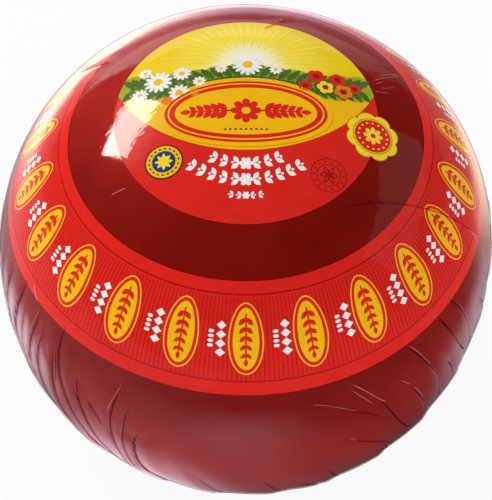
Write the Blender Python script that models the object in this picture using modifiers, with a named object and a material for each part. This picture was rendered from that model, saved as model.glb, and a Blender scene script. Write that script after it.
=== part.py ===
"""A ball of cheese: a flattened ball in a red wax coat, wrapped tight in one sheet of clear film.

The film clings to the wax all round and is gathered in pleats under the ball, so that the ball
and its wrapper are one closed solid. Metres, +Z up. The origin is the middle of the flat spot
that the ball rests on, straight under its crown.
"""

import math

import bpy

# Driving sizes.
BALL_RADIUS = 0.076  # at the widest place
CROWN_HEIGHT = 0.922 * BALL_RADIUS  # from the widest place up to the top
BELLY_DEPTH = 0.842 * BALL_RADIUS  # from the widest place down to where a full curve would end
CROWN_SQUARENESS = 2.331  # exponent of the curve: 2 is an ellipse, more is squarer
BELLY_SQUARENESS = 2.413
FOOT_RADIUS = 0.024  # of the flat spot that the weight of the cheese presses

# Unevenness of a ball pressed in a mould and ripened on a shelf. Only even numbers of lobes are
# used, which leave the ball centred over its origin.
LOBES = ((2, 0.00035, 0.6), (4, 0.00020, 1.9))  # count, height and turn of each set

# Pleats of the film, from just under the widest place to the flat spot.
PLEAT_COUNT = 24
PLEAT_DEPTH = 0.0015
PLEAT_LEAN = 0.8  # part of each pleat that slopes out, before it steps back in
PLEAT_SWING = math.radians(18)  # turn of a pleat between its upper and its lower end

# Fineness of the solid.
ROUND_STEPS = 5 * PLEAT_COUNT  # so that every pleat has its crest and its step on an edge
CROWN_STEPS = 15
BELLY_STEPS = 15
FOOT_STEPS = 2

WELD = 0.00001


def clear_scene():
    for thing in list(bpy.data.objects):
        bpy.data.objects.remove(thing, do_unlink=True)


def collection_named(name):
    group = bpy.data.collections.new(name)
    bpy.context.scene.collection.children.link(group)
    return group


def film_over_wax():
    """Dark red wax under glossy clear film."""
    material = bpy.data.materials.new("film_over_wax")
    material.use_nodes = True
    shader = material.node_tree.nodes["Principled BSDF"]
    shader.inputs["Base Color"].default_value = (0.16, 0.008, 0.008, 1.0)
    shader.inputs["Roughness"].default_value = 0.2
    shader.inputs["Metallic"].default_value = 0.0
    return material


def superellipse(angle, depth, squareness):
    """A point of a quarter curve, from the axis (angle 0) to the widest place (a right angle)."""
    reach = BALL_RADIUS * abs(math.sin(angle)) ** (2 / squareness)
    rise = depth * abs(math.cos(angle)) ** (2 / squareness)
    return reach, rise


def foot_angle():
    """The angle at which the belly's curve comes in to the flat spot's edge."""
    return math.asin((FOOT_RADIUS / BALL_RADIUS) ** (BELLY_SQUARENESS / 2))


def widest_height():
    """How high the widest place stands over the flat spot."""
    return superellipse(foot_angle(), BELLY_DEPTH, BELLY_SQUARENESS)[1]


def ball_profile():
    """The outline from the top of the crown, down the outside, to the middle of the flat spot."""
    middle = widest_height()
    points = []
    for step in range(CROWN_STEPS + 1):
        reach, rise = superellipse(math.pi / 2 * step / CROWN_STEPS, CROWN_HEIGHT, CROWN_SQUARENESS)
        points.append((reach, middle + rise))
    for step in range(1, BELLY_STEPS + 1):
        angle = math.pi / 2 + (foot_angle() - math.pi / 2) * step / BELLY_STEPS
        reach, drop = superellipse(angle, BELLY_DEPTH, BELLY_SQUARENESS)
        points.append((reach, middle - drop))
    for step in range(1, FOOT_STEPS + 1):
        points.append((FOOT_RADIUS * (1 - step / FOOT_STEPS), 0.0))
    return points


def turned(name, points):
    """Turns an outline about the Z axis into a closed mesh."""
    outline = bpy.data.meshes.new(name + "_outline")
    edges = [(i, i + 1) for i in range(len(points) - 1)]
    outline.from_pydata([(reach, 0.0, height) for reach, height in points], edges, [])
    blank = bpy.data.objects.new(name + "_outline", outline)
    bpy.context.scene.collection.objects.link(blank)
    screw = blank.modifiers.new("turn", "SCREW")
    screw.axis = "Z"
    screw.steps = screw.render_steps = ROUND_STEPS
    screw.use_merge_vertices = True
    screw.merge_threshold = WELD
    bpy.context.view_layer.update()
    finished = blank.evaluated_get(bpy.context.evaluated_depsgraph_get())
    mesh = bpy.data.meshes.new_from_object(finished)
    mesh.name = name
    bpy.data.objects.remove(blank, do_unlink=True)
    return mesh


def eased(low, high, value):
    """Goes smoothly from 0 at low to 1 at high."""
    part = min(max((value - low) / (high - low), 0.0), 1.0)
    return part * part * (3 - 2 * part)


def unevenness(azimuth):
    return sum(height * math.cos(count * (azimuth - turn)) for count, height, turn in LOBES)


def pleat(azimuth, drop):
    """How far a pleat draws the film in, drop being 0 at the widest place and 1 at the foot."""
    along = (azimuth * PLEAT_COUNT / math.tau + 0.001) % 1.0
    fold = 1 - along / PLEAT_LEAN if along < PLEAT_LEAN else (along - PLEAT_LEAN) / (1 - PLEAT_LEAN)
    strength = eased(0.0, 0.5, drop) * (1 - eased(0.8, 1.0, drop))
    loose = 0.65 + 0.35 * math.cos(2 * azimuth)
    return PLEAT_DEPTH * fold * strength * loose


def press_and_wrap(mesh):
    """Gives the turned ball its lobes and swings the film's pleats round it. The flat spot stays."""
    for vertex in mesh.vertices:
        x, y, height = vertex.co
        reach = math.hypot(x, y)
        if height < WELD or reach < WELD:
            continue
        drop = max(1 - height / widest_height(), 0.0)
        azimuth = math.atan2(y, x)
        swung = azimuth + PLEAT_SWING * drop
        reach += unevenness(swung) * eased(FOOT_RADIUS, BALL_RADIUS, reach) - pleat(azimuth, drop)
        vertex.co.x = reach * math.cos(swung)
        vertex.co.y = reach * math.sin(swung)


def wrapped_cheese_ball():
    mesh = turned("wrapped_cheese_ball", ball_profile())
    press_and_wrap(mesh)
    mesh.materials.append(film_over_wax())
    mesh.shade_smooth()
    return bpy.data.objects.new("wrapped_cheese_ball", mesh)


clear_scene()
cheese = collection_named("ball_of_cheese")
cheese.objects.link(wrapped_cheese_ball())
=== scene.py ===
import math

import bmesh
import bpy
import numpy as np
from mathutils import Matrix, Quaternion, Vector


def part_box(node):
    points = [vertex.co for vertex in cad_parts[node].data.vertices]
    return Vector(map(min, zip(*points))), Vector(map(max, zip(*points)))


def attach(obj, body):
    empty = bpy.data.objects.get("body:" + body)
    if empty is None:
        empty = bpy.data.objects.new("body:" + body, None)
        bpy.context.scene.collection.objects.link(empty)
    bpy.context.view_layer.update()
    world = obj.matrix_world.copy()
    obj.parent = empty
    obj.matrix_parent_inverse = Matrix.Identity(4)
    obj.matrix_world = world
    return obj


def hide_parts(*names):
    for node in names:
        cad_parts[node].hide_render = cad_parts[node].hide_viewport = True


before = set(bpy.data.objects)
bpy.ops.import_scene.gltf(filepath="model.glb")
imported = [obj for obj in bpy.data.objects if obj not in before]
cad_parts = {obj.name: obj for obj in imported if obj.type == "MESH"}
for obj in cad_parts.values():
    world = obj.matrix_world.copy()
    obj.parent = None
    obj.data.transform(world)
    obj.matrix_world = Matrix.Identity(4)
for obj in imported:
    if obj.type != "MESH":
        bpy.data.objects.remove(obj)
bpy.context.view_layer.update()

MM = 0.001

# ------------------------------------------------------------ The cheese in its wax coat
# A whole ball of semi-hard cheese, pressed in a round mould and ripened on a shelf, which gives it
# a flat spot and slight lobes. It is dipped in dark red cheese wax. The wax sets semi-gloss, faintly
# clouded and a little wavy, and it shows wherever the wrapper is not printed.

ball_low, ball_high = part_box("wrapped_cheese_ball")
ball_height = ball_high.z - ball_low.z
ball_radius = (ball_high.x - ball_low.x + ball_high.y - ball_low.y) / 4
crown_height = 0.922 * ball_radius
belly_depth = 0.842 * ball_radius
foot_radius = 0.316 * ball_radius
crown_squareness = 2.331
belly_squareness = 2.413
widest_height = ball_height - crown_height

# The outline of the ball, read from the crown down to the middle of the flat spot. A place on the
# skin is an azimuth (0 at the front, growing to the right) and a way: the arc from the crown.
crown_turn = np.linspace(0, math.pi / 2, 900)
belly_turn = np.linspace(math.pi / 2, math.asin((foot_radius / ball_radius) ** (belly_squareness / 2)), 900)
outline_reach = np.concatenate([
    ball_radius * np.sin(crown_turn) ** (2 / crown_squareness),
    ball_radius * np.sin(belly_turn[1:]) ** (2 / belly_squareness),
    np.linspace(foot_radius, 0, 60)[1:],
])
outline_height = np.concatenate([
    widest_height + crown_height * np.abs(np.cos(crown_turn)) ** (2 / crown_squareness),
    widest_height - belly_depth * np.abs(np.cos(belly_turn[1:])) ** (2 / belly_squareness),
    np.zeros(59),
])
outline_way = np.concatenate([[0], np.cumsum(np.hypot(np.diff(outline_reach), np.diff(outline_height)))])
outline_run = np.gradient(outline_reach, outline_way)
outline_fall = np.gradient(outline_height, outline_way)
whole_way = outline_way[-1]
widest_way = np.interp(-widest_height, -outline_height, outline_way)
foot_way = whole_way - foot_radius


def eased(low, high, value):
    """Goes smoothly from 0 at low to 1 at high."""
    part = np.clip((value - low) / (high - low), 0, 1)
    return part * part * (3 - 2 * part)


def on_skin(azimuth, way, out=0.0):
    """Points on the ball's skin, or out metres above it."""
    reach = np.interp(way, outline_way, outline_reach)
    height = np.interp(way, outline_way, outline_height)
    aside = -np.interp(way, outline_way, outline_fall)
    upward = np.interp(way, outline_way, outline_run)
    from_right = azimuth - math.pi / 2
    lobes = 0.35 * MM * np.cos(2 * (from_right - 0.6)) + 0.20 * MM * np.cos(4 * (from_right - 1.9))
    reach = reach + lobes * eased(foot_radius, ball_radius, reach) + aside * out
    height = np.maximum(height + upward * out, 0)
    return np.stack([reach * np.sin(azimuth), -reach * np.cos(azimuth), height], axis=-1)


def dropped(way):
    """How far below the widest place a way is: 0 down to it, and 1 at the flat spot."""
    return np.maximum(1 - np.interp(way, outline_way, outline_height) / widest_height, 0)


def waves(places, length, seed, count=14):
    """Smooth, random waves of about that length through space, from about -1 to 1."""
    draw = np.random.default_rng(seed)
    along = draw.normal(size=(count, 3))
    along *= (draw.uniform(0.7, 1.4, count) / np.linalg.norm(along, axis=1) / length * math.tau)[:, None]
    return np.sin(places @ along.T + draw.uniform(0, math.tau, count)).sum(axis=-1) / math.sqrt(count)


def shown_piece(name, points, faces, material):
    """A smooth piece of the object, which moves with the body and takes its finish from a slot."""
    mesh = bpy.data.meshes.new(name)
    mesh.from_pydata(np.asarray(points).tolist(), [], [tuple(map(int, face)) for face in faces])
    mesh.materials.append(material)
    mesh.shade_smooth()
    piece = bpy.data.objects.new(name, mesh)
    bpy.context.scene.collection.objects.link(piece)
    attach(piece, "root")
    return piece


def closed_round(columns, rows):
    """Faces of a closed round body: rows of points from the crown's point down to the foot's point."""
    here = np.arange(columns)
    following = (here + 1) % columns
    last = 1 + (rows - 1) * columns
    faces = [(0, 1 + a, 1 + b) for a, b in zip(here, following)]
    for first in range(1, last, columns):
        below = first + columns
        faces += [(first + a, below + a, below + b, first + b) for a, b in zip(here, following)]
    return faces + [(last + columns, last + b, last + a) for a, b in zip(here, following)]


def tone(red, green, blue):
    """A colour given as a screen shows it, from 0 to 255, in the linear values that a shader takes."""
    linear = [
        part / 255 / 12.92 if part <= 10 else ((part / 255 + 0.055) / 1.055) ** 2.4
        for part in (red, green, blue)
    ]
    return (*linear, 1.0)


def new_material(name):
    material = bpy.data.materials.new(name)
    material.use_nodes = True
    return material, material.node_tree.nodes, material.node_tree.links


def new_group(name, inputs, outputs):
    """A shader node group with named inputs and outputs, given as (name, kind, default)."""
    group = bpy.data.node_groups.new(name, "ShaderNodeTree")
    for label, kind, default in inputs:
        socket = group.interface.new_socket(label, in_out="INPUT", socket_type="NodeSocket" + kind)
        socket.default_value = default
    for label, kind in outputs:
        group.interface.new_socket(label, in_out="OUTPUT", socket_type="NodeSocket" + kind)
    return group, group.nodes.new("NodeGroupInput"), group.nodes.new("NodeGroupOutput")


# Clouding: two sizes of soft patches that lighten and darken a colour, as in set wax and thin ink.
clouding, cloud_in, cloud_out = new_group(
    "clouding",
    [("Pale", "Color", (1, 1, 1, 1)), ("Deep", "Color", (0, 0, 0, 1)), ("Patch Size", "Float", 0.01),
     ("Speck Size", "Float", 0.001), ("Specks", "Float", 0.3)],
    [("Color", "Color"), ("Patches", "Float")],
)
links = clouding.links
place = clouding.nodes.new("ShaderNodeTexCoord")
sizes = []
for label in ("Patch Size", "Speck Size"):
    per_metre = clouding.nodes.new("ShaderNodeMath")
    per_metre.operation = "DIVIDE"
    per_metre.inputs[0].default_value = 1.0
    links.new(cloud_in.outputs[label], per_metre.inputs[1])
    noise = clouding.nodes.new("ShaderNodeTexNoise")
    noise.inputs["Detail"].default_value = 3.0
    links.new(place.outputs["Object"], noise.inputs["Vector"])
    links.new(per_metre.outputs[0], noise.inputs["Scale"])
    sizes.append(noise)
blend = clouding.nodes.new("ShaderNodeMix")
links.new(cloud_in.outputs["Specks"], blend.inputs[0])
links.new(sizes[0].outputs[0], blend.inputs[2])
links.new(sizes[1].outputs[0], blend.inputs[3])
contrast = clouding.nodes.new("ShaderNodeMapRange")
contrast.inputs["From Min"].default_value = 0.32
contrast.inputs["From Max"].default_value = 0.68
links.new(blend.outputs[0], contrast.inputs["Value"])
colours = clouding.nodes.new("ShaderNodeMix")
colours.data_type = "RGBA"
links.new(contrast.outputs[0], colours.inputs[0])
links.new(cloud_in.outputs["Deep"], colours.inputs[6])
links.new(cloud_in.outputs["Pale"], colours.inputs[7])
links.new(colours.outputs[2], cloud_out.inputs["Color"])
links.new(contrast.outputs[0], cloud_out.inputs["Patches"])


def clouded(nodes, pale, deep, patch, speck, specks):
    """A clouding node in a material, with its own colours and sizes."""
    node = nodes.new("ShaderNodeGroup")
    node.node_tree = clouding
    node.inputs["Pale"].default_value = pale
    node.inputs["Deep"].default_value = deep
    node.inputs["Patch Size"].default_value = patch
    node.inputs["Speck Size"].default_value = speck
    node.inputs["Specks"].default_value = specks
    return node


def painted_rim_light(nodes, colour, base_colour, most):
    """Feeds a colour on, up to most times as strong where it is seen at a slant: painted light at the rim."""
    slant = nodes.new("ShaderNodeLayerWeight")
    gain = nodes.new("ShaderNodeMapRange")
    gain.inputs["From Min"].default_value = 0.3
    gain.inputs["From Max"].default_value = 0.7
    gain.inputs["To Min"].default_value = 1.0
    gain.inputs["To Max"].default_value = most
    nodes.id_data.links.new(slant.outputs["Facing"], gain.inputs["Value"])
    stronger = nodes.new("ShaderNodeVectorMath")
    stronger.operation = "SCALE"
    nodes.id_data.links.new(colour, stronger.inputs[0])
    nodes.id_data.links.new(gain.outputs[0], stronger.inputs["Scale"])
    nodes.id_data.links.new(stronger.outputs[0], base_colour)


red_wax, nodes, links = new_material("red_wax")
shader = nodes["Principled BSDF"]
shader.inputs["Metallic"].default_value = 0.35
shader.inputs["Specular IOR Level"].default_value = 0.5
shader.inputs["Specular Tint"].default_value = (1.0, 0.05, 0.03, 1)
shader.inputs["Coat Weight"].default_value = 0.6
shader.inputs["Coat IOR"].default_value = 1.5
shader.inputs["Coat Roughness"].default_value = 0.06
wax_clouds = clouded(nodes, tone(158, 25, 15), tone(140, 19, 11), 16 * MM, 1.2 * MM, 0.35)
# The wax's colour is brightened where it is seen at a slant: painted rim light.
painted_rim_light(nodes, wax_clouds.outputs["Color"], shader.inputs["Base Color"], 1.8)
wax_gloss = nodes.new("ShaderNodeMapRange")
wax_gloss.inputs["To Min"].default_value = 0.5
wax_gloss.inputs["To Max"].default_value = 0.6
links.new(wax_clouds.outputs["Patches"], wax_gloss.inputs["Value"])
links.new(wax_gloss.outputs[0], shader.inputs["Roughness"])

# The film is shrunk on while the wax is warm, so the film's creases and gathers are pressed into it.
WAX_UNDER_FILM = 0.36 * MM
WAX_WAVE = 0.02 * MM

# Creases in the film: how high each stands and the half width of its dark line of painted shade, in mm, then four
# places it passes, each an azimuth in degrees and a way in mm.
creases = [
    (0.50, 0.24, (-75.5, 92), (-76.5, 105), (-73, 117), (-66, 128)),
    (0.55, 0.26, (-69.5, 90), (-70.5, 103), (-70, 116), (-63, 127)),
    (0.60, 0.32, (-62.5, 84), (-63.5, 99), (-65, 115), (-59, 129)),
    (0.35, 0.20, (-59.5, 93), (-61, 106), (-61, 118), (-57, 130)),
    (0.50, 0.25, (-54.5, 88), (-56.5, 104), (-58, 120), (-53, 136)),
    (0.50, 0.25, (-52, 95), (-54, 110), (-53.5, 124), (-50, 139)),
    (0.55, 0.30, (-48, 96), (-48.5, 113), (-46.5, 130), (-38, 145)),
    (0.50, 0.27, (-45.5, 83), (-46, 105), (-42, 127), (-36, 148)),
    (0.00, 0.14, (-47, 98), (-47, 103), (-47, 108), (-47, 113)),
    (0.45, 0.32, (-42, 106), (-39, 119), (-36, 131), (-30, 144)),
    (0.00, 0.15, (-40.5, 102), (-40.3, 106), (-40.1, 110), (-39.7, 114)),
    (0.20, 0.17, (-37.7, 109), (-36.3, 112), (-35, 115), (-33.6, 118)),
    (0.40, 0.26, (-28, 93), (-31, 109), (-31, 125), (-26.5, 142)),
    (0.38, 0.24, (-26, 101), (-28.2, 115), (-28, 129), (-25, 143)),
    (0.80, 0.42, (-24, 113), (-26, 123), (-25.5, 133), (-23.5, 144)),
    (0.00, 0.30, (-25, 119), (-25.5, 125), (-25, 131), (-24, 138)),
    (0.28, 0.20, (13, 139), (15, 143), (17, 147), (19, 151)),
    (0.20, 0.12, (23, 102), (26, 104.5), (28.6, 107.5), (31, 110.5)),
    (0.30, 0.16, (23.6, 116), (28.7, 123), (33.7, 130), (37, 138)),
    (0.40, 0.20, (30.3, 102), (34, 112), (37.6, 123), (42, 133)),
    (0.38, 0.20, (39.4, 104), (42.3, 114), (45.1, 123), (46.7, 133)),
    (0.45, 0.24, (38.3, 86), (44.4, 100), (49, 115), (51.6, 131)),
    (0.45, 0.40, (52.2, 110), (54.1, 116), (56, 123), (57.2, 130)),
    (0.30, 0.34, (50, 87), (53.3, 97), (56.7, 108), (61, 119)),
    (0.40, 0.25, (54.7, 85), (59.3, 97), (62.3, 110), (65.3, 124)),
    (0.40, 0.30, (69, 105), (72, 113), (75, 121), (78, 130)),
    (0.30, 0.13, (38.0, 42.3), (57.2, 50.8), (69.8, 70.0), (76.0, 94.4)),
    (0.25, 0.16, (172.0, 34.2), (166.3, 38.9), (160.7, 46.0), (155.0, 54.2)),
    (0.45, 0.26, (-123, 50), (-122.2, 55), (-121.4, 59), (-120.6, 64)),
    (0.25, 0.14, (122.2, 44), (120.7, 47), (119.4, 50.6), (117.5, 54)),
    (0.30, 0.20, (123.5, 57), (121.6, 63), (119.9, 70), (118.9, 76)),
    (0.25, 0.20, (117.7, 57), (117, 60), (116.7, 63), (116.6, 66)),
]

# Round the back they go on at random.
draw = np.random.default_rng(23)
for azimuth in np.arange(84, 280, 6.5):
    start = azimuth + draw.uniform(-3, 3)
    lean = draw.uniform(0, 3)
    bow = draw.uniform(-3, 0.5)
    top = draw.uniform(86, 104)
    step = draw.uniform(13, 16)
    rise = draw.uniform(0.25, 0.5)
    places = [(start + lean * place + bow * (place in (1, 2)), top + step * place) for place in range(4)]
    creases.append((rise, 0.1 + 0.3 * rise, *places))


def crease_path(places, part):
    """The azimuth and the way at parts, from 0 to 1, of a smooth path through four places."""
    path = 0
    for place, (azimuth, way) in enumerate(places):
        others = [other for other in range(4) if other != place]
        weight = np.prod([(3 * part - other) / (place - other) for other in others], axis=0)
        path = path + weight * np.array([[math.radians(azimuth)], [way * MM]])
    return path


pleat_count = 24
pleat_depth = 1.5 * MM
pleat_lean = 0.8
pleat_swing = math.radians(18)


def swing_at(way):
    """How far the pleats lean round the ball at a way."""
    drop = 1 - np.interp(way, outline_way, outline_height) / widest_height
    return pleat_swing * np.maximum(drop, -0.6)


def pleat(azimuth, way):
    """How far the gathers draw the film in, under the ball."""
    drop = dropped(way)
    unswung = azimuth - pleat_swing * drop
    along = (unswung * pleat_count / math.tau + 0.001) % 1
    fold = np.where(along < pleat_lean, 1 - along / pleat_lean, (along - pleat_lean) / (1 - pleat_lean))
    strength = eased(0, 0.5, drop) * (1 - eased(0.8, 1, drop))
    loose = 0.65 - 0.35 * np.cos(2 * unswung)
    return pleat_depth * fold * strength * loose


def crease_strength(part):
    return eased(-0.02, 0.25, part) * (1 - eased(0.7, 1.02, part))


def film_out(azimuth, way):
    """How far the film stands off the skin."""
    stands = np.zeros_like(azimuth)
    dips = np.zeros_like(azimuth)
    reach = np.interp(way, outline_way, outline_reach)
    parts = np.linspace(0, 1, 40)
    for rise, _, *places in creases:
        if not rise:
            continue
        path_azimuth, path_way = crease_path(places, parts)
        middle = np.interp(way, path_way, path_azimuth)
        part = (way - path_way[0]) / (path_way[-1] - path_way[0])
        aside = (np.mod(azimuth - middle + math.pi, math.tau) - math.pi) * reach
        height = rise * MM * crease_strength(part)
        stands = np.maximum(stands, height * (1 - eased(2 * MM, 11 * MM, np.abs(aside))))
        past = np.exp(-np.maximum(aside, 0) / (2.4 * MM)) * eased(-0.45 * MM, 0.1 * MM, aside)
        dips = np.maximum(dips, height * past)
    slack = 0.04 * MM * (1 + 0.6 * waves(on_skin(azimuth, way), 12 * MM, 5, 10))
    height = slack + np.maximum(stands - dips, 0) - pleat(azimuth, way)
    return height * (1 - eased(foot_way - 5 * MM, foot_way, way))


wax_columns = 600
wax_rows = 120
wax_ways = np.linspace(0, whole_way, wax_rows + 2)
azimuths, ways = np.meshgrid(np.arange(wax_columns) / wax_columns * math.tau, wax_ways[1:-1])
azimuths, ways = azimuths.ravel(), ways.ravel()
azimuths = azimuths + swing_at(ways)
pressed = eased(89 * MM, 94 * MM, ways)
wavy = WAX_WAVE * waves(on_skin(azimuths, ways), 14 * MM, 3)
wax_points = np.concatenate([
    on_skin(np.zeros(1), wax_ways[:1], -WAX_UNDER_FILM),
    on_skin(azimuths, ways, pressed * film_out(azimuths, ways) + wavy - WAX_UNDER_FILM),
    on_skin(np.zeros(1), wax_ways[-1:], 0.0),
])
wax_points[:, 2] = np.maximum(wax_points[:, 2], WAX_UNDER_FILM)
shown_piece("wax_ball", wax_points, closed_round(wax_columns, wax_rows), red_wax)

# ------------------------------------------------------------ The printed label on the crown
# The film is printed in reverse on its inner side before it is wrapped, in flat fields of ink laid
# one over the other. On the crown is a round red label, 77 mm across: over a golden field runs a
# garland of leaves and blossoms, with an oval cartouche, white garlands and small round marks below.

INK_STEP = 0.025 * MM
INK_DEEPEST = -0.27 * MM
label_radius = 38.6 * MM


def ink(name, colour, deeper, gloss=0.22):
    """A flat field of ink: nearly even, with faint clouds and specks where it is thin."""
    material, nodes, links = new_material(name)
    shader = nodes["Principled BSDF"]
    shader.inputs["Specular IOR Level"].default_value = 0.1
    shader.inputs["Sheen Weight"].default_value = 0.35
    shader.inputs["Sheen Roughness"].default_value = 0.35
    shader.inputs["Sheen Tint"].default_value = (1.0, 0.62, 0.45, 1)
    clouds = clouded(nodes, tone(*colour), tone(*deeper), 9 * MM, 0.5 * MM, 0.4)
    # The ink's colour is brightened where it is seen at a slant: painted rim light.
    painted_rim_light(nodes, clouds.outputs["Color"], shader.inputs["Base Color"], 1.35)
    shine = nodes.new("ShaderNodeMapRange")
    shine.inputs["To Min"].default_value = gloss
    shine.inputs["To Max"].default_value = gloss + 0.1
    links.new(clouds.outputs["Patches"], shine.inputs["Value"])
    links.new(shine.outputs[0], shader.inputs["Roughness"])
    return material


def filled(loops, cell):
    """Fills flat outlines, holes included, with triangles no larger than a cell."""
    sheet = bmesh.new()
    for loop in loops:
        corners = [sheet.verts.new((x, y, 0)) for x, y in loop]
        for corner, following in zip(corners, corners[1:] + corners[:1]):
            sheet.edges.new((corner, following))
    bmesh.ops.triangle_fill(sheet, edges=sheet.edges[:], use_beauty=True)
    outline = np.concatenate([np.asarray(loop) for loop in loops])
    for axis in (0, 1):
        low, high = outline[:, axis].min(), outline[:, axis].max()
        cuts = int((high - low) / cell)
        facing = [0.0, 0.0, 0.0]
        facing[axis] = 1.0
        for cut in range(1, cuts + 1):
            middle = [0.0, 0.0, 0.0]
            middle[axis] = low + (high - low) * cut / (cuts + 1)
            everything = sheet.verts[:] + sheet.edges[:] + sheet.faces[:]
            bmesh.ops.bisect_plane(sheet, geom=everything, dist=1e-7, plane_co=middle, plane_no=facing)
    bmesh.ops.triangulate(sheet, faces=sheet.faces[:])
    sheet.normal_update()
    bmesh.ops.reverse_faces(sheet, faces=[face for face in sheet.faces if face.normal.z < 0])
    sheet.verts.index_update()
    points = np.array([corner.co.xy[:] for corner in sheet.verts])
    faces = np.array([[corner.index for corner in face.verts] for face in sheet.faces])
    sheet.free()
    return points, faces


def joined(shapes):
    """Several filled shapes as one."""
    points, faces, count = [], [], 0
    for some_points, some_faces in shapes:
        points.append(some_points)
        faces.append(some_faces + count)
        count += len(some_points)
    return np.concatenate(points), np.concatenate(faces)


def laid_on_crown(flat, out):
    """Wraps flat places, x to the right and y to the back of the crown, on to the ball."""
    return on_skin(np.arctan2(flat[:, 0], -flat[:, 1]), np.hypot(flat[:, 0], flat[:, 1]), out)


def crown_print(name, shapes, layer, material, cell=1.8 * MM):
    """One field or motif of the label, from shapes that each are a list of loops."""
    flat, faces = joined([filled(loops, cell) for loops in shapes])
    points = laid_on_crown(flat, INK_DEEPEST + layer * INK_STEP)
    return shown_piece(name, points, faces, material)


def ellipse(x, y, across, along, count=48):
    """An ellipse's outline from its middle and its half sizes."""
    steps = [math.tau * step / count for step in range(count)]
    return [(x + across * math.cos(angle), y + along * math.sin(angle)) for angle in steps]


def round_line(x, y, radius, width, count=64):
    """A thin line round a middle."""
    return [ellipse(x, y, radius, radius, count), ellipse(x, y, radius - width, radius - width, count)]


def petalled(x, y, radius, petals, depth, turn=0.0, steps=12):
    """A round outline with so many round petals or lobes, each that share of the radius deep."""
    points = []
    for step in range(petals * steps):
        angle = math.tau * step / (petals * steps)
        reach = radius * (1 - depth + depth * abs(math.cos(petals * angle / 2)) ** 0.7)
        points.append((x + reach * math.cos(angle + turn), y + reach * math.sin(angle + turn)))
    return points


def leaf(x, y, length, width, turn, count=7):
    """A pointed oval leaf, from its stalk end at x, y."""
    side = [(length * k / count, width / 2 * math.sin(math.pi * k / count)) for k in range(count + 1)]
    shape = side + [(a, -b) for a, b in side[-2:0:-1]]
    return moved([[shape]], x, y, turn)[0][0]


def moved(shapes, x=0.0, y=0.0, turn=0.0, flip=1):
    """Shapes turned, mirrored in their own line if flip is -1, and put at x, y."""
    c, s = math.cos(turn), math.sin(turn)
    return [
        [[(x + a * c - flip * b * s, y + a * s + flip * b * c) for a, b in loop] for loop in shape]
        for shape in shapes
    ]


def bent(shapes, radius):
    """Shapes drawn along a straight line from its middle, laid on an arc in front of the crown."""
    return [
        [
            [((radius - v) * math.sin(u / radius), -(radius - v) * math.cos(u / radius)) for u, v in loop]
            for loop in shape
        ]
        for shape in shapes
    ]


def spray(length, pairs, leaf_length, leaf_width, spread, stem=0.35 * MM):
    """A stem with leaves in pairs and a bud at its end, from 0, 0 to the right."""
    shapes = [[[(0, -stem / 2), (length, -stem / 2), (length, stem / 2), (0, stem / 2)]]]
    for pair in range(pairs):
        part = (pair + 0.4) / pairs
        size = 1 - 0.35 * part
        for side in (1, -1):
            shapes.append([leaf(length * part, 0, leaf_length * size, leaf_width * size, side * spread)])
    return shapes + [[leaf(length, 0, leaf_length * 0.8, leaf_width * 0.8, 0)]]


def garland(half_length, units, height, middle=True):
    """Leaf pairs and beads that run out both ways from a blossom."""
    pitch = half_length / units
    shapes = [[petalled(0, 0, height / 2, 6, 0.4)]] if middle else []
    for unit in range(units):
        at = pitch * (unit + 0.62)
        for way in (1, -1):
            for side in (1, -1):
                turn = side * math.radians(48)
                shapes += moved([[leaf(0, 0, height * 0.66, height * 0.36, turn)]], at * way, 0, 0 if way > 0 else math.pi)
            bead = height * 0.1
            shapes.append([ellipse(way * (at + pitch * 0.55), 0, bead, bead, 16)])
    return shapes


def between(bottom, top, left, right, count):
    """The field between two curves, given as functions of x."""
    across = [left + (right - left) * k / count for k in range(count + 1)]
    lower = [(x, bottom(x)) for x in across]
    upper = [(x, top(x)) for x in reversed(across) if top(x) - bottom(x) > 0.01 * MM]
    return lower + upper


def label_edge(x):
    return math.sqrt(max(label_radius ** 2 - x ** 2, 0))


label_red = ink("label_red_ink", (226, 39, 31), (219, 35, 27))
golden = ink("golden_ink", (252, 196, 12), (247, 188, 10))
lemon = ink("lemon_ink", (254, 226, 60), (252, 216, 40))
deep_red = ink("deep_red_ink", (158, 22, 18), (146, 18, 15))
white = ink("white_ink", (250, 250, 248), (240, 240, 238))
meadow_green = ink("meadow_green_ink", (168, 178, 40), (150, 164, 34))
leaf_green = ink("leaf_green_ink", (122, 146, 40), (106, 134, 34))
hedge_green = ink("hedge_green_ink", (78, 112, 40), (62, 98, 34))
orange = ink("orange_ink", (240, 130, 28), (232, 118, 22))
blue = ink("blue_ink", (22, 70, 132), (16, 58, 116))
navy = ink("navy_ink", (24, 36, 50), (18, 30, 44))

crown_print("label_ground", [[ellipse(0, 0, label_radius, label_radius, 120)]], 0, label_red)

# The golden field: the part of the label above a wide arc. Its upper part pales towards a blossom.
arc_radius = 41.1 * MM
arc_rise = 25.1 * MM
picture_half = 37.6 * MM
glow_foot = 9 * MM
glow_half = math.sqrt(label_radius ** 2 - glow_foot ** 2)
blossom_x = 0.5 * MM
blossom_y = 15.8 * MM


def picture_foot(x):
    return arc_rise - math.sqrt(arc_radius ** 2 - x ** 2)


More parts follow.
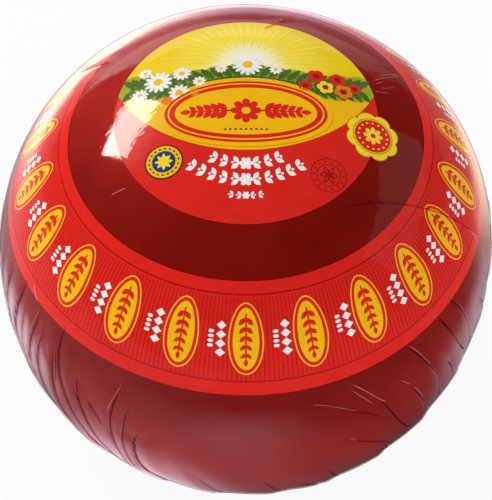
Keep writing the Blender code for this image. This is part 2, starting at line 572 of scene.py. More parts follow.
glowing, nodes, links = new_material("glowing_yellow_ink")
shader = nodes["Principled BSDF"]
shader.inputs["Specular IOR Level"].default_value = 0.1
shader.inputs["Roughness"].default_value = 0.5
place = nodes.new("ShaderNodeTexCoord")
away = nodes.new("ShaderNodeVectorMath")
away.operation = "DISTANCE"
away.inputs[1].default_value = laid_on_crown(np.array([[blossom_x, blossom_y]]), 0.0)[0].tolist()
links.new(place.outputs["Object"], away.inputs[0])
glow_reach = nodes.new("ShaderNodeMapRange")
glow_reach.inputs["From Min"].default_value = 4 * MM
glow_reach.inputs["From Max"].default_value = 24 * MM
links.new(away.outputs["Value"], glow_reach.inputs["Value"])
glow = nodes.new("ShaderNodeValToRGB")
glow.color_ramp.elements[0].color = tone(255, 252, 232)
glow.color_ramp.elements[1].color = tone(250, 214, 14)
glow.color_ramp.elements.new(0.42).color = tone(253, 236, 96)
links.new(glow_reach.outputs[0], glow.inputs["Fac"])
links.new(glow.outputs["Color"], shader.inputs["Base Color"])

picture = between(picture_foot, label_edge, -picture_half, picture_half, 96)
crown_print("label_picture", [[picture]], 1, golden)
above = between(lambda x: glow_foot, label_edge, -glow_half, glow_half, 96)
crown_print("glowing_ground", [[above]], 2, glowing)

# Fine strokes fan out from the blossom over the yellow.
strokes = []
for step in range(25):
    turn = math.radians(6 + 168 * step / 24)
    start = (7.5 if step % 2 else 9.5) * MM
    x, y = blossom_x + start * math.cos(turn), blossom_y + start * math.sin(turn)
    toward = x * math.cos(turn) + y * math.sin(turn)
    reach = -toward + math.sqrt(toward ** 2 + (label_radius - 1.2 * MM) ** 2 - x ** 2 - y ** 2)
    strokes.append([leaf(x, y, min(reach, (20 if step % 2 else 13) * MM), 0.9 * MM, turn)])
crown_print("yellow_strokes", strokes, 3, lemon)


# The garland: a pale green band with leaves on both sides of a stem, in two greens.
def garland_middle(x):
    return (9.6 + 1.2 * math.cos(x / (6.5 * MM))) * MM


def scallops(x):
    return 0.9 * MM * abs(math.sin(x / (1.9 * MM)))


def band_foot(x):
    return max(garland_middle(x) - 4.4 * MM - scallops(x), picture_foot(x))


def band_top(x):
    return min(garland_middle(x) + 4.6 * MM + scallops(x), label_edge(x))


band_half = 37.4 * MM
crown_print("garland_band", [[between(band_foot, band_top, -band_half, band_half, 300)]], 3, meadow_green)
for name, phase, length, width, spread, layer, material in (
    ("pale_leaves", 0.5, 5.4, 2.3, 62, 4, leaf_green),
    ("dark_leaves", 0.0, 6.2, 2.1, 50, 5, hedge_green),
):
    leaves = []
    for step in range(-13, 13):
        x = (step + 0.5 + phase * 0.98) * 2.6 * MM
        if abs(x) > 33.5 * MM:
            continue
        way = 0 if x > 0 else math.pi
        for side in (1, -1):
            turn = way + side * math.radians(spread) * (1 if x > 0 else -1)
            leaves.append([leaf(x, garland_middle(x), length * MM, width * MM, turn)])
    if name == "dark_leaves":
        leaves.append([between(lambda x: garland_middle(x) - 0.3 * MM, lambda x: garland_middle(x) + 0.3 * MM, -34 * MM, 34 * MM, 60)])
    crown_print(name, leaves, layer, material)

# Blossoms on it: white daisies on the left and in the middle, red and golden poppies on the right.
daisies = [
    (-25.5, 10.8, 4.3, 13), (-19.2, 5.6, 3.1, 11), (-30.8, 6.4, 2.6, 10), (-18.6, 13.2, 2.8, 11),
    (-29.6, 15.6, 2.2, 9), (-13.4, 9.4, 2.0, 9), (0.5, 15.8, 4.6, 15), (-7.2, 14.2, 1.8, 9), (8.6, 13.9, 2.0, 9),
]
white_petals, hearts = [], []
for x, y, radius, petals in daisies:
    white_petals.append([petalled(x * MM, y * MM, radius * MM, petals, 0.42, 0.2 * x)])
    hearts.append([ellipse(x * MM, y * MM, radius * 0.32 * MM, radius * 0.32 * MM, 24)])
crown_print("daisy_petals", white_petals, 6, white)
crown_print("daisy_hearts", hearts, 7, golden)
for name, material, layer, slot, places in (
    ("red_poppies", label_red, 6, "red_print", ((20.3, 12.4, 2.7), (26.6, 12.0, 2.6), (17.0, 8.0, 2.1), (31.6, 9.6, 2.0))),
    ("golden_poppies", lemon, 7, "yellow_print", ((22.9, 8.2, 2.5),)),
    ("orange_poppies", orange, 7, "red_print", ((28.2, 7.4, 2.8), (-22.6, 2.9, 1.6), (-14.6, 4.9, 1.4))),
):
    petals = [[petalled(x * MM, y * MM, radius * MM, 5, 0.22, 0.3 * x)] for x, y, radius in places]
    crown_print(name, petals, layer, material)
poppy_hearts = []
for x, y, radius in ((20.3, 12.4, 2.7), (26.6, 12.0, 2.6), (17.0, 8.0, 2.1), (31.6, 9.6, 2.0), (22.9, 8.2, 2.5), (28.2, 7.4, 2.8)):
    poppy_hearts.append([petalled(x * MM, y * MM, radius * 0.42 * MM, 6, 0.4)])
crown_print("poppy_hearts", poppy_hearts, 8, deep_red)

# The oval cartouche: a red ring on gold, a thin golden line in it, and a red blossom with sprays.
cartouche_y = -2.4 * MM


def oval(across, along, count=80):
    return ellipse(0, cartouche_y, across * MM, along * MM, count)


crown_print("cartouche_margin", [[oval(24.8, 12.6)]], 6, golden)
crown_print("cartouche_ring", [[oval(23.2, 11.2)]], 7, label_red)
crown_print("cartouche_line", [[oval(22.3, 10.4), oval(21.8, 9.9)]], 8, golden)
crown_print("cartouche_field", [[oval(20.2, 8.6)]], 8, golden)
blossom = [[petalled(0, cartouche_y, 4.4 * MM, 8, 0.36), ellipse(0, cartouche_y, 1.3 * MM, 1.3 * MM, 24)]]
for turn in (0, math.pi):
    arm = spray(11 * MM, 5, 4.2 * MM, 2.2 * MM, math.radians(46), 0.6 * MM)
    blossom += moved(arm, 4.4 * MM * math.cos(turn), cartouche_y, turn)
crown_print("cartouche_blossom", blossom, 9, label_red)
beads = [[ellipse(x * 1.45 * MM, cartouche_y - 6.7 * MM, 0.36 * MM, 0.36 * MM, 16)] for x in range(-4, 5)]
crown_print("cartouche_beads", beads, 9, deep_red)

# White garlands curve under it, two bold ones and a small one.
white_rows = bent(garland(9.6 * MM, 3, 4.1 * MM), 20.4 * MM)
white_rows += bent(garland(16.4 * MM, 5, 4.1 * MM), 25.4 * MM)
white_rows += bent(garland(4.4 * MM, 2, 2.3 * MM), 30.2 * MM)
crown_print("white_garlands", white_rows, 2, white)

# A round mark on the left: a toothed dark rim, a golden ring with beads, and a flower on blue.
mark_x = -23.1 * MM
mark_y = -18.4 * MM
crown_print("mark_rim", [[petalled(mark_x, mark_y, 5.6 * MM, 36, 0.05, steps=4)]], 2, navy)
crown_print("mark_ring", [[ellipse(mark_x, mark_y, 5.1 * MM, 5.1 * MM)]], 3, golden)
beads = []
for step in range(18):
    turn = math.tau * step / 18
    x, y = mark_x + 4.2 * MM * math.cos(turn), mark_y + 4.2 * MM * math.sin(turn)
    beads.append([leaf(x, y, 0.9 * MM, 0.5 * MM, turn + math.pi / 2)])
crown_print("mark_beads", beads, 4, navy)
crown_print("mark_middle", [[ellipse(mark_x, mark_y, 3.4 * MM, 3.4 * MM)]], 4, blue)
petals = [[leaf(mark_x, mark_y, 2.7 * MM, 1.1 * MM, math.tau * step / 8)] for step in range(8)]
crown_print("mark_flower", petals, 5, lemon)

# On the right, a faint round stamp in dark red lines, and a golden rosette over the label's edge.
stamp_x = 23.3 * MM
stamp_y = -22.6 * MM
stamp = [round_line(stamp_x, stamp_y, radius * MM, 0.2 * MM) for radius in (5.3, 3.5)]
for step in range(14):
    turn = math.tau * step / 14
    x, y = stamp_x + 4.3 * MM * math.cos(turn), stamp_y + 4.3 * MM * math.sin(turn)
    stamp.append([ellipse(x, y, 0.3 * MM, 0.3 * MM, 12)])
for step in range(6):
    turn = math.tau * step / 6
    outer = leaf(stamp_x, stamp_y, 2.9 * MM, 1.3 * MM, turn)
    inner = leaf(stamp_x + 0.5 * MM * math.cos(turn), stamp_y + 0.5 * MM * math.sin(turn), 2.0 * MM, 0.8 * MM, turn)
    stamp.append([outer, inner])
crown_print("stamp", stamp, 2, deep_red)

rosette_x = 36.7 * MM
rosette_y = -7.0 * MM
gold_edge = ink("gold_edge_ink", (214, 150, 12), (204, 140, 10))
crown_print("rosette_edge", [[petalled(rosette_x, rosette_y, 8.4 * MM, 8, 0.14, 0.3)]], 2, gold_edge)
crown_print("rosette", [[petalled(rosette_x, rosette_y, 8.1 * MM, 8, 0.14, 0.3)]], 3, lemon)
crown_print("rosette_line", [round_line(rosette_x, rosette_y, 6.2 * MM, 0.3 * MM)], 4, gold_edge)
crown_print("rosette_disc", [[ellipse(rosette_x, rosette_y, 5.6 * MM, 5.6 * MM)]], 4, label_red)
star = [[petalled(rosette_x, rosette_y, 3.0 * MM, 8, 0.45), ellipse(rosette_x, rosette_y, 0.8 * MM, 0.8 * MM, 20)]]
for step in range(16):
    turn = math.tau * step / 16
    x, y = rosette_x + 4.5 * MM * math.cos(turn), rosette_y + 4.5 * MM * math.sin(turn)
    star.append([ellipse(x, y, 0.34 * MM, 0.34 * MM, 12)])
crown_print("rosette_star", star, 5, lemon)

# ------------------------------------------------------------ The printed ring around the shoulder
# A broad red ring is printed round the shoulder: plain red borders, a fine dark line inside each,
# fine dark rays between the lines, and evenly spaced golden ovals with white ornaments by them.

ring_inner = 54.3 * MM
ring_outer = 88.2 * MM
inner_line = 58.0 * MM
outer_line = 83.6 * MM
line_width = 0.4 * MM
repeats = 22
oval_way = 70.7 * MM
oval_half_length = 10.6 * MM
oval_half_width = 4.95 * MM
shoulder_reach = np.interp(oval_way, outline_way, outline_reach)


def ring_print(name, inner, outer, layer, material, columns=360, rows=1):
    """A band of ink round the ball between two ways."""
    turned, ways = np.meshgrid(np.arange(columns) / columns * math.tau, np.linspace(outer, inner, rows + 1))
    here = np.arange(columns)
    following = (here + 1) % columns
    one_row = np.stack([here, following, following + columns, here + columns], axis=1)
    faces = np.concatenate([one_row + row * columns for row in range(rows)])
    points = on_skin(turned.ravel(), ways.ravel(), INK_DEEPEST + layer * INK_STEP)
    return shown_piece(name, points, faces, material)


def ring_motif(name, shapes, layer, material, cell=1.8 * MM):
    """A motif repeated round the ring, drawn x to the right and y down the ball from an oval's middle."""
    flat, faces = joined([filled(loops, cell) for loops in shapes])
    faces = faces[:, ::-1]
    turned = np.concatenate([flat[:, 0] / shoulder_reach + k / repeats * math.tau for k in range(repeats)])
    ways = np.tile(oval_way + flat[:, 1], repeats)
    faces = np.concatenate([faces + k * len(flat) for k in range(repeats)])
    points = on_skin(turned, ways, INK_DEEPEST + layer * INK_STEP)
    return shown_piece(name, points, faces, material)


ring_red = ink("ring_red_ink", (231, 37, 29), (225, 33, 25))
fine_red = ink("fine_line_red_ink", (172, 20, 17), (164, 18, 15))
ray_red = ink("ray_red_ink", (196, 26, 21), (188, 23, 19))
pale_gold = ink("pale_gold_ink", (253, 190, 60), (250, 182, 50))
ring_print("shoulder_ring", ring_inner, ring_outer, 0, ring_red, rows=16)
for name, way in (("inner_ring_line", inner_line), ("outer_ring_line", outer_line)):
    ring_print(name, way - line_width / 2, way + line_width / 2, 1, fine_red)

# The rays: one thin strip each, from line to line.
ray_count = 15 * repeats
ray_width = 0.28 * MM
ray_steps = 14
ray_ways = np.linspace(inner_line + 0.8 * MM, outer_line - 0.5 * MM, ray_steps + 1)
half_ray = ray_width / 2 / shoulder_reach
turned = (np.arange(ray_count) / ray_count * math.tau)[:, None, None] + np.array([-half_ray, half_ray])
turned, ways = np.broadcast_arrays(turned, ray_ways[None, :, None])
ray_points = on_skin(turned.ravel(), ways.ravel(), INK_DEEPEST + INK_STEP)
corner = (np.arange(ray_count)[:, None] * (ray_steps + 1) + np.arange(ray_steps)).ravel() * 2
ray_faces = np.stack([corner, corner + 2, corner + 3, corner + 1], axis=1)
shown_piece("ring_rays", ray_points, ray_faces, ray_red)


def upright_oval(across, along):
    return ellipse(0, 0, across, along, 64)


oval_outline = [
    upright_oval(oval_half_width, oval_half_length),
    upright_oval(oval_half_width - 0.42 * MM, oval_half_length - 0.42 * MM),
]
ring_motif("oval_grounds", [[upright_oval(oval_half_width, oval_half_length)]], 2, ring_red)
ring_motif("oval_outlines", [oval_outline], 3, pale_gold)
ring_motif("oval_fields", [[upright_oval(3.65 * MM, 9.1 * MM)]], 3, golden)

# In each oval is a spray of leaves, and left of it stand a bold and a small row of white lozenges.
oval_spray = moved(spray(13 * MM, 5, 3.1 * MM, 1.5 * MM, math.radians(44), 0.5 * MM), 0, -7.4 * MM, math.pi / 2)
ring_motif("oval_sprays", oval_spray, 4, label_red)
lozenges = []
for step in range(4):
    y = (step - 1.5) * 2.65 * MM
    lozenges.append([[(-8.35 * MM, y), (-6.95 * MM, y - 1.25 * MM), (-5.55 * MM, y), (-6.95 * MM, y + 1.25 * MM)]])
for step in range(4):
    lozenges.append([ellipse(-9.75 * MM, (step - 1.5) * 1.4 * MM, 0.8 * MM, 0.5 * MM, 16)])
ring_motif("ring_lozenges", lozenges, 2, white)

# ------------------------------------------------------------ The clear film
# One sheet of thin clear film is shrunk tight over the ball and gathered under it. What it can't
# shrink away stands in long creases, which lean round the ball on their way to the gathers. The
# film lies on the wax just past a crease, and stands off it a little up to the next one.

# The film's finish: clear and glossy, with fine drawn streaks that tear the edge of a reflection.
streaks, streaks_in, streaks_out = new_group(
    "drawn_streaks",
    [("Turn", "Float", -0.75), ("Length", "Float", 0.003), ("Width", "Float", 0.0007),
     ("Height", "Float", 0.00002), ("Patch Size", "Float", 0.012),
     ("Slack Size", "Float", 0.006), ("Slack Height", "Float", 0.00001)],
    [("Normal", "Vector")],
)
links = streaks.links
place = streaks.nodes.new("ShaderNodeTexCoord")
turning = streaks.nodes.new("ShaderNodeVectorRotate")
turning.rotation_type = "Z_AXIS"
links.new(place.outputs["Object"], turning.inputs["Vector"])
links.new(streaks_in.outputs["Turn"], turning.inputs["Angle"])
size = streaks.nodes.new("ShaderNodeCombineXYZ")
for axis, label in (("X", "Length"), ("Y", "Width"), ("Z", "Width")):
    links.new(streaks_in.outputs[label], size.inputs[axis])
stretched = streaks.nodes.new("ShaderNodeVectorMath")
stretched.operation = "DIVIDE"
links.new(turning.outputs[0], stretched.inputs[0])
links.new(size.outputs[0], stretched.inputs[1])
fine = streaks.nodes.new("ShaderNodeTexNoise")
fine.inputs["Scale"].default_value = 1.0
fine.inputs["Detail"].default_value = 0.0
links.new(stretched.outputs[0], fine.inputs["Vector"])
patch_size = streaks.nodes.new("ShaderNodeVectorMath")
patch_size.operation = "DIVIDE"
links.new(place.outputs["Object"], patch_size.inputs[0])
links.new(streaks_in.outputs["Patch Size"], patch_size.inputs[1])
patches = streaks.nodes.new("ShaderNodeTexNoise")
patches.inputs["Scale"].default_value = 1.0
links.new(patch_size.outputs[0], patches.inputs["Vector"])
drawn = streaks.nodes.new("ShaderNodeMapRange")
drawn.inputs["From Min"].default_value = 0.35
drawn.inputs["From Max"].default_value = 0.6
links.new(patches.outputs[0], drawn.inputs["Value"])
drawn_height = streaks.nodes.new("ShaderNodeMath")
drawn_height.operation = "MULTIPLY"
links.new(fine.outputs[0], drawn_height.inputs[0])
links.new(drawn.outputs[0], drawn_height.inputs[1])
fine_relief = streaks.nodes.new("ShaderNodeBump")
links.new(drawn_height.outputs[0], fine_relief.inputs["Height"])
links.new(streaks_in.outputs["Height"], fine_relief.inputs["Distance"])
slack_size = streaks.nodes.new("ShaderNodeVectorMath")
slack_size.operation = "DIVIDE"
links.new(place.outputs["Object"], slack_size.inputs[0])
links.new(streaks_in.outputs["Slack Size"], slack_size.inputs[1])
broad = streaks.nodes.new("ShaderNodeTexNoise")
broad.inputs["Scale"].default_value = 1.0
broad.inputs["Detail"].default_value = 1.0
links.new(slack_size.outputs[0], broad.inputs["Vector"])
broad_relief = streaks.nodes.new("ShaderNodeBump")
links.new(broad.outputs[0], broad_relief.inputs["Height"])
links.new(streaks_in.outputs["Slack Height"], broad_relief.inputs["Distance"])
links.new(fine_relief.outputs[0], broad_relief.inputs["Normal"])
links.new(broad_relief.outputs[0], streaks_out.inputs["Normal"])


def clear_sheet(name, tint, gloss, most_mirrored, streak_height, slack_height):
    """Thin clear film: see-through, and mirroring more the flatter it is looked along, with a dark rim of painted
    shade where it is seen edge-on.
    """
    material, nodes, links = new_material(name)
    nodes.remove(nodes["Principled BSDF"])
    relief = nodes.new("ShaderNodeGroup")
    relief.node_tree = streaks
    relief.inputs["Height"].default_value = streak_height
    relief.inputs["Slack Height"].default_value = slack_height
    clear = nodes.new("ShaderNodeBsdfTransparent")
    mirror = nodes.new("ShaderNodeBsdfGlossy")
    mirror.inputs["Roughness"].default_value = gloss
    links.new(relief.outputs["Normal"], mirror.inputs["Normal"])
    share = nodes.new("ShaderNodeFresnel")
    share.inputs["IOR"].default_value = 1.45
    links.new(relief.outputs["Normal"], share.inputs["Normal"])
    capped = nodes.new("ShaderNodeMath")
    capped.operation = "MINIMUM"
    capped.inputs[1].default_value = most_mirrored
    links.new(share.outputs[0], capped.inputs[0])
    side = nodes.new("ShaderNodeNewGeometry")
    front = nodes.new("ShaderNodeMath")
    front.operation = "SUBTRACT"
    front.inputs[0].default_value = 1.0
    links.new(side.outputs["Backfacing"], front.inputs[1])
    mirrored = nodes.new("ShaderNodeMath")
    mirrored.operation = "MULTIPLY"
    links.new(capped.outputs[0], mirrored.inputs[0])
    links.new(front.outputs[0], mirrored.inputs[1])
    if tint:
        tinting = nodes.new("ShaderNodeMix")
        tinting.data_type = "RGBA"
        tinting.inputs[6].default_value = (1, 1, 1, 1)
        tinting.inputs[7].default_value = tint
        links.new(front.outputs[0], tinting.inputs[0])
        links.new(tinting.outputs[2], clear.inputs["Color"])
    mixed = nodes.new("ShaderNodeMixShader")
    links.new(mirrored.outputs[0], mixed.inputs[0])
    links.new(clear.outputs[0], mixed.inputs[1])
    links.new(mirror.outputs[0], mixed.inputs[2])
    # Where the film is seen nearly edge-on it turns dark red: painted shade at the rim.
    slant = nodes.new("ShaderNodeLayerWeight")
    edge = nodes.new("ShaderNodeMapRange")
    edge.inputs["From Min"].default_value = 0.88
    edge.inputs["From Max"].default_value = 0.97
    edge.inputs["To Max"].default_value = 0.75
    links.new(slant.outputs["Facing"], edge.inputs["Value"])
    painted_dark_rim = nodes.new("ShaderNodeBsdfTransparent")
    painted_dark_rim.inputs["Color"].default_value = (0.38, 0.17, 0.17, 1)
    edged = nodes.new("ShaderNodeMixShader")
    links.new(edge.outputs[0], edged.inputs[0])
    links.new(mixed.outputs[0], edged.inputs[1])
    links.new(painted_dark_rim.outputs[0], edged.inputs[2])
    links.new(edged.outputs[0], nodes["Material Output"].inputs["Surface"])
    return material


clear_film = clear_sheet("clear_film", None, 0.01, 0.6, 2.4e-5, 1e-5)
# The folds are tinted dark red: partly the doubled film, partly painted shade in the crease.
folded_film_painted_shade = clear_sheet("folded_film_painted_shade", (0.6, 0.1, 0.09, 1), 0.12, 0.02, 2e-5, 1e-5)

film_columns = 960
film_rows = 102
film_ways = np.linspace(0, whole_way, film_rows + 2)
azimuths, ways = np.meshgrid(np.arange(film_columns) / film_columns * math.tau, film_ways[1:-1])
azimuths, ways = azimuths.ravel(), ways.ravel()
azimuths = azimuths + swing_at(ways)
film_points = np.concatenate([
    on_skin(np.zeros(1), film_ways[:1], 0.1 * MM),
    on_skin(azimuths, ways, film_out(azimuths, ways)),
    on_skin(np.zeros(1), film_ways[-1:], 0.0),
])
film = shown_piece("film", film_points, closed_round(film_columns, film_rows), clear_film)
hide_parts("wrapped_cheese_ball")

# Along each crease the film is doubled over in a fine roll, tinted dark red: partly the doubled film, partly
# painted shade in the crease. It shows as a dark line with a glint.
roll_steps = 48
roll_outline = np.array([(-1, -0.4), (-0.75, 0.45), (-0.15, 1), (0.5, 0.6), (1, -0.4), (0, -0.5)])


def roll(path_azimuth, path_way, half_width, height):
    """A flattened, tapering tube along a path on the film."""
    part = np.linspace(0, 1, len(path_way))
    taper = np.clip(eased(0, 0.2, part) * (1 - eased(0.9, 1, part)), 0.02, 1)[:, None]
    out = film_out(path_azimuth, path_way)
    middle = on_skin(path_azimuth, path_way, out)
    upward = on_skin(path_azimuth, path_way, out + 1 * MM) - middle
    upward /= np.linalg.norm(upward, axis=1)[:, None] + 1e-12
    onward = np.gradient(middle, axis=0)
    sideways = np.cross(onward, upward)
    sideways /= np.linalg.norm(sideways, axis=1)[:, None]
    points = []
    for across, up in roll_outline:
        points.append(middle + sideways * across * half_width * taper + upward * up * height * taper)
    points = np.stack(points, axis=1).reshape(-1, 3)
    points[:, 2] = np.maximum(points[:, 2], 0)
    sides = len(roll_outline)
    faces = []
    for step in range(len(part) - 1):
        for side in range(sides):
            following = (side + 1) % sides
            a, b = step * sides + side, step * sides + following
            faces.append((a, b, b + sides, a + sides))
    last = (len(part) - 1) * sides
    faces += [tuple(range(sides))[::-1], tuple(range(last, last + sides))]
    return points, faces


roll_points, roll_faces, count = [], [], 0
parts = np.linspace(0, 1, roll_steps)
lines = [(places, half_width) for _, half_width, *places in creases]
for step in range(pleat_count):
    azimuth = 360 / pleat_count * step
    lean = math.degrees(pleat_swing)
    drops = [0.2, 0.433, 0.667, 0.9]
    pleat_ways = np.interp(np.array(drops) - 1, -outline_height / widest_height, outline_way) / MM
    lines.append(([(azimuth + lean * drop, way) for drop, way in zip(drops, pleat_ways)], 0.26))
for places, half_width in lines:
    path_azimuth, path_way = crease_path(places, parts)
    points, faces = roll(path_azimuth, path_way, half_width * MM, 0.12 * MM)
    roll_points.append(points)
    roll_faces += [tuple(corner + count for corner in face) for face in faces]
    count += len(points)
shown_piece("film_folds", np.concatenate(roll_points), roll_faces, folded_film_painted_shade)

# Painted glints: pale strips beside some creases and along a few crinkles and scratches, a painted highlight where
# the film catches the light: the half width in mm, then four places it passes, each an azimuth in degrees and a way
# in mm.
painted_glint_lines = [
    (0.16, (-62.8, 91.5), (-63.5, 96), (-64.3, 100.7), (-64.8, 105.3)),
    (0.16, (-55, 89), (-55.7, 94.6), (-56.5, 100.3), (-57.2, 106)),
    (0.14, (-52.5, 95.6), (-53.4, 101.5), (-54.1, 107.3), (-54.5, 113)),
    (0.13, (-28.5, 93.3), (-29.7, 98.7), (-31, 104), (-31.7, 109.6)),
    (0.13, (-26.4, 102.2), (-27.4, 108.6), (-28.5, 115), (-28.8, 121.6)),
    (0.20, (-56.1, 46.9), (-55.7, 45.3), (-55, 43.8), (-54.1, 42.4)),
    (0.55, (-59.5, 84.5), (-58.6, 86), (-57.5, 87.2), (-56.3, 88)),
    (0.12, (13.8, 94.2), (18, 96.1), (21.7, 99.3), (25.3, 102.9)),
    (0.19, (23.8, 90.6), (27, 95.4), (29.8, 100.5), (32.7, 105.6)),
    (0.15, (23.7, 93.1), (25.5, 96.1), (27.1, 99.2), (28.8, 102.4)),
    (0.13, (23, 115.1), (23.9, 116.2), (24.7, 117.3), (25.6, 118.3)),
    (0.17, (39.9, 88.3), (42.2, 93.1), (44.1, 98.2), (45.8, 103.3)),
    (0.15, (36.4, 99.3), (37.4, 101), (38.4, 102.7), (39.4, 104.5)),
    (0.15, (40, 105.9), (41.5, 109.8), (42.9, 113.7), (44.1, 117.7)),
    (0.12, (57.5, 90), (59.5, 96), (61, 102.3), (62.5, 108.6)),
    (0.15, (115, 43.1), (115.3, 46.3), (115.9, 49.4), (116.5, 52.5)),
    (0.15, (111.9, 40.2), (113.6, 44.7), (114.7, 49.1), (116.3, 53.5)),
    (0.12, (110.1, 40.9), (110.6, 42), (111.2, 43.2), (111.7, 44.3)),
    (0.10, (107.9, 41.8), (108, 43.7), (108.5, 45.5), (109.1, 47.3)),
    (0.10, (105.7, 39.2), (105.6, 41), (105.5, 42.7), (105.7, 44.5)),
    (0.30, (116.1, 57.5), (116.4, 60.7), (116.7, 63.9), (117.4, 67)),
]
painted_glint_film, nodes, links = new_material("painted_glint_film")
shader = nodes["Principled BSDF"]
# The strips' pale pink colour is a painted highlight.
shader.inputs["Base Color"].default_value = (0.95, 0.6, 0.56, 1)
shader.inputs["Roughness"].default_value = 0.4
clear = nodes.new("ShaderNodeBsdfTransparent")
part_clear = nodes.new("ShaderNodeMixShader")
part_clear.inputs[0].default_value = 0.12
links.new(clear.outputs[0], part_clear.inputs[1])
links.new(shader.outputs[0], part_clear.inputs[2])
links.new(part_clear.outputs[0], nodes["Material Output"].inputs["Surface"])

glint_points, glint_faces, count = [], [], 0
for half_width, *places in painted_glint_lines:
    path_azimuth, path_way = crease_path(places, parts)
    points, faces = roll(path_azimuth, path_way, half_width * MM, 0.05 * MM)
    glint_points.append(points)
    glint_faces += [tuple(corner + count for corner in face) for face in faces]
    count += len(points)
shown_piece("film_painted_glints", np.concatenate(glint_points), glint_faces, painted_glint_film)

# ------------------------------------------------------------ The floor, the light and the camera
# A pale seamless floor under soft studio light: one softbox behind on the left, a pale backdrop
# that only shows in the gloss, and broad soft light all round. The camera looks down from the front.

pale_floor, nodes, links = new_material("pale_floor")
shader = nodes["Principled BSDF"]
shader.inputs["Base Color"].default_value = (0.86, 0.86, 0.86, 1)
shader.inputs["Roughness"].default_value = 0.9
shader.inputs["Specular IOR Level"].default_value = 0.0
ray = nodes.new("ShaderNodeLightPath")
pale_shine = nodes.new("ShaderNodeEmission")
pale_shine.inputs["Strength"].default_value = 1.0
seen_share = nodes.new("ShaderNodeMath")
seen_share.operation = "MULTIPLY"
seen_share.inputs[1].default_value = 0.92
links.new(ray.outputs["Is Camera Ray"], seen_share.inputs[0])
seen = nodes.new("ShaderNodeMixShader")
links.new(seen_share.outputs[0], seen.inputs[0])
links.new(shader.outputs[0], seen.inputs[1])
links.new(pale_shine.outputs[0], seen.inputs[2])
# What the film mirrors of the floor is painted light and shade, glowing only in the gloss: dim in front, brighter
# behind and on the left, with pools of light, of which two are warm: where each lies, how far it reaches, and its
# strength.
pale_pools = [
    (-0.15, 0.38, 0.50, 0.8),
    (0.00, 0.20, 0.15, 1.4),
    (0.15, 0.10, 0.13, 0.3),
    (0.11, 0.00, 0.06, 0.5),
    (-0.11, 0.00, 0.06, 1.1),
    (-0.045, -0.06, 0.05, 1.1),
    (-0.05, -0.13, 0.15, 0.2),
    (0.00, -0.16, 0.08, 0.35),
]
warm_pools = [
    (-0.20, 0.30, 0.22, 4.4),
    (0.15, 0.12, 0.11, 1.5),
]
place = nodes.new("ShaderNodeTexCoord")
apart = nodes.new("ShaderNodeSeparateXYZ")
links.new(place.outputs["Object"], apart.inputs[0])
from_front = nodes.new("ShaderNodeMapRange")
from_front.interpolation_type = "SMOOTHSTEP"
from_front.inputs["From Min"].default_value = 0.05
from_front.inputs["From Max"].default_value = 0.2
from_front.inputs["To Min"].default_value = 0.055
from_front.inputs["To Max"].default_value = 0.15
links.new(apart.outputs["Y"], from_front.inputs["Value"])
from_left = nodes.new("ShaderNodeMapRange")
from_left.interpolation_type = "SMOOTHSTEP"
from_left.inputs["From Min"].default_value = -0.22
from_left.inputs["From Max"].default_value = -0.02
from_left.inputs["To Min"].default_value = 0.18
from_left.inputs["To Max"].default_value = 0.0
links.new(apart.outputs["X"], from_left.inputs["Value"])
dimness = nodes.new("ShaderNodeMath")
links.new(from_front.outputs[0], dimness.inputs[0])
links.new(from_left.outputs[0], dimness.inputs[1])


def shining(pools, strength_socket, colour):
    """Painted light in the floor's reflection, of one colour: a strength to begin with, if any, and round pools on
    top.
    """
    glow = nodes.new("ShaderNodeEmission")
    glow.inputs["Color"].default_value = colour
    for x, y, reach, strength in pools:
        from_pool = nodes.new("ShaderNodeVectorMath")
        from_pool.operation = "DISTANCE"
        from_pool.inputs[1].default_value = (x, y, 0)
        links.new(place.outputs["Object"], from_pool.inputs[0])
        pool = nodes.new("ShaderNodeMapRange")
        pool.interpolation_type = "SMOOTHSTEP"
        pool.inputs["From Max"].default_value = reach
        pool.inputs["To Min"].default_value = strength
        pool.inputs["To Max"].default_value = 0.0
        links.new(from_pool.outputs["Value"], pool.inputs["Value"])
        with_pool = nodes.new("ShaderNodeMath")
        with_pool.inputs[0].default_value = 0.0
        if strength_socket:
            links.new(strength_socket, with_pool.inputs[0])
        links.new(pool.outputs[0], with_pool.inputs[1])
        strength_socket = with_pool.outputs[0]
    links.new(strength_socket, glow.inputs["Strength"])
    return glow


dim_shine = nodes.new("ShaderNodeAddShader")
pale_glow = shining(pale_pools, dimness.outputs[0], (0.97, 0.86, 1.0, 1))
warm_glow = shining(warm_pools, None, (1.0, 0.82, 0.55, 1))
links.new(pale_glow.outputs[0], dim_shine.inputs[0])
links.new(warm_glow.outputs[0], dim_shine.inputs[1])
mirrored = nodes.new("ShaderNodeMixShader")
links.new(ray.outputs["Is Glossy Ray"], mirrored.inputs[0])
links.new(seen.outputs[0], mirrored.inputs[1])
links.new(dim_shine.outputs[0], mirrored.inputs[2])
links.new(mirrored.outputs[0], nodes["Material Output"].inputs["Surface"])
floor_mesh = bpy.data.meshes.new("floor")
bm = bmesh.new()
bmesh.ops.create_circle(bm, cap_ends=True, segments=96, radius=6.0)
bm.to_mesh(floor_mesh)
bm.free()
floor_mesh.materials.append(pale_floor)
floor = bpy.data.objects.new("floor", floor_mesh)
bpy.context.scene.collection.objects.link(floor)

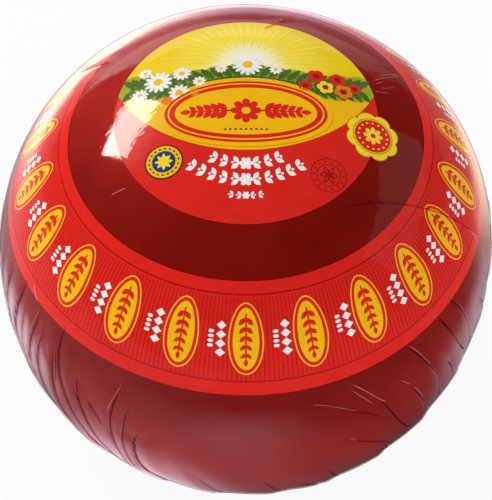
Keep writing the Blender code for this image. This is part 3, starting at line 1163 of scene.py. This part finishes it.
# The backdrop: brightest on the left, and seen only in the film.
backdrop_shine, nodes, links = new_material("backdrop_shine")
nodes.remove(nodes["Principled BSDF"])
shine = nodes.new("ShaderNodeEmission")
place = nodes.new("ShaderNodeTexCoord")
apart = nodes.new("ShaderNodeSeparateXYZ")
links.new(place.outputs["Object"], apart.inputs[0])
from_left = nodes.new("ShaderNodeMapRange")
from_left.inputs["From Min"].default_value = -1.8
from_left.inputs["From Max"].default_value = 1.8
from_left.inputs["To Min"].default_value = 1.1
from_left.inputs["To Max"].default_value = 0.2
links.new(apart.outputs["X"], from_left.inputs["Value"])
links.new(from_left.outputs[0], shine.inputs["Strength"])
links.new(shine.outputs[0], nodes["Material Output"].inputs["Surface"])
backdrop_mesh = bpy.data.meshes.new("backdrop")
corners = [(-2.15, 3, 0), (1.9, 3, 0), (1.75, 3, 0.85), (-1.2, 3, 1.05)]
backdrop_mesh.from_pydata(corners, [], [(0, 1, 2, 3)])
backdrop_mesh.materials.append(backdrop_shine)
backdrop = bpy.data.objects.new("backdrop", backdrop_mesh)
backdrop.visible_camera = False
backdrop.visible_diffuse = False
backdrop.visible_shadow = False
bpy.context.scene.collection.objects.link(backdrop)

world = bpy.data.worlds.new("studio")
bpy.context.scene.world = world
world.use_nodes = True
world.node_tree.nodes["Background"].inputs["Color"].default_value = (1, 1, 1, 1)
world.node_tree.nodes["Background"].inputs["Strength"].default_value = 0.47
world.cycles_visibility.glossy = False

aim = Vector((0, 0, widest_height))


def soft_light(name, azimuth, elevation, distance, width, height, radiance, mirrored=False, roll=0.0):
    """A rectangular light facing the ball. Azimuth 0 is behind the ball, growing to the right."""
    data = bpy.data.lights.new(name, "AREA")
    data.shape = "RECTANGLE"
    data.size = width
    data.size_y = height
    data.energy = radiance * math.pi * width * height
    light = bpy.data.objects.new(name, data)
    a, e = math.radians(azimuth), math.radians(elevation)
    toward = Vector((math.sin(a) * math.cos(e), math.cos(a) * math.cos(e), math.sin(e)))
    light.location = aim + toward * distance
    light.rotation_mode = "QUATERNION"
    light.rotation_quaternion = Quaternion(toward, math.radians(roll)) @ toward.to_track_quat("Z", "Y")
    light.visible_glossy = mirrored
    light.visible_camera = False
    bpy.context.scene.collection.objects.link(light)
    return light


softbox = soft_light("softbox", -43.5, 38.3, 3.0, 1.2, 0.68, 17.5, mirrored=True, roll=12)
softbox.data.color = (1.0, 0.96, 0.88)
soft_light("right_card", 80, 28, 3.0, 3.0, 1.4, 0.2, mirrored=True)
soft_light("front_low", 180, 12, 1.4, 1.6, 0.4, 3.35)
soft_light("left_side", -90, 22, 1.4, 1.0, 0.6, 1.25)
soft_light("right_side", 90, 22, 1.4, 1.0, 0.6, 1.0)

camera_data = bpy.data.cameras.new("camera")
camera_data.sensor_width = 36
camera_data.lens = 121.3
camera = bpy.data.objects.new("camera", camera_data)
camera_elevation = math.radians(53.9)
camera_distance = 7 * ball_radius
back = Vector((0, -math.cos(camera_elevation), math.sin(camera_elevation)))
camera.location = aim + back * camera_distance
camera.rotation_mode = "QUATERNION"
camera.rotation_quaternion = back.to_track_quat("Z", "Y")
bpy.context.scene.collection.objects.link(camera)
bpy.context.scene.camera = camera
bpy.context.scene.view_settings.view_transform = "Standard"
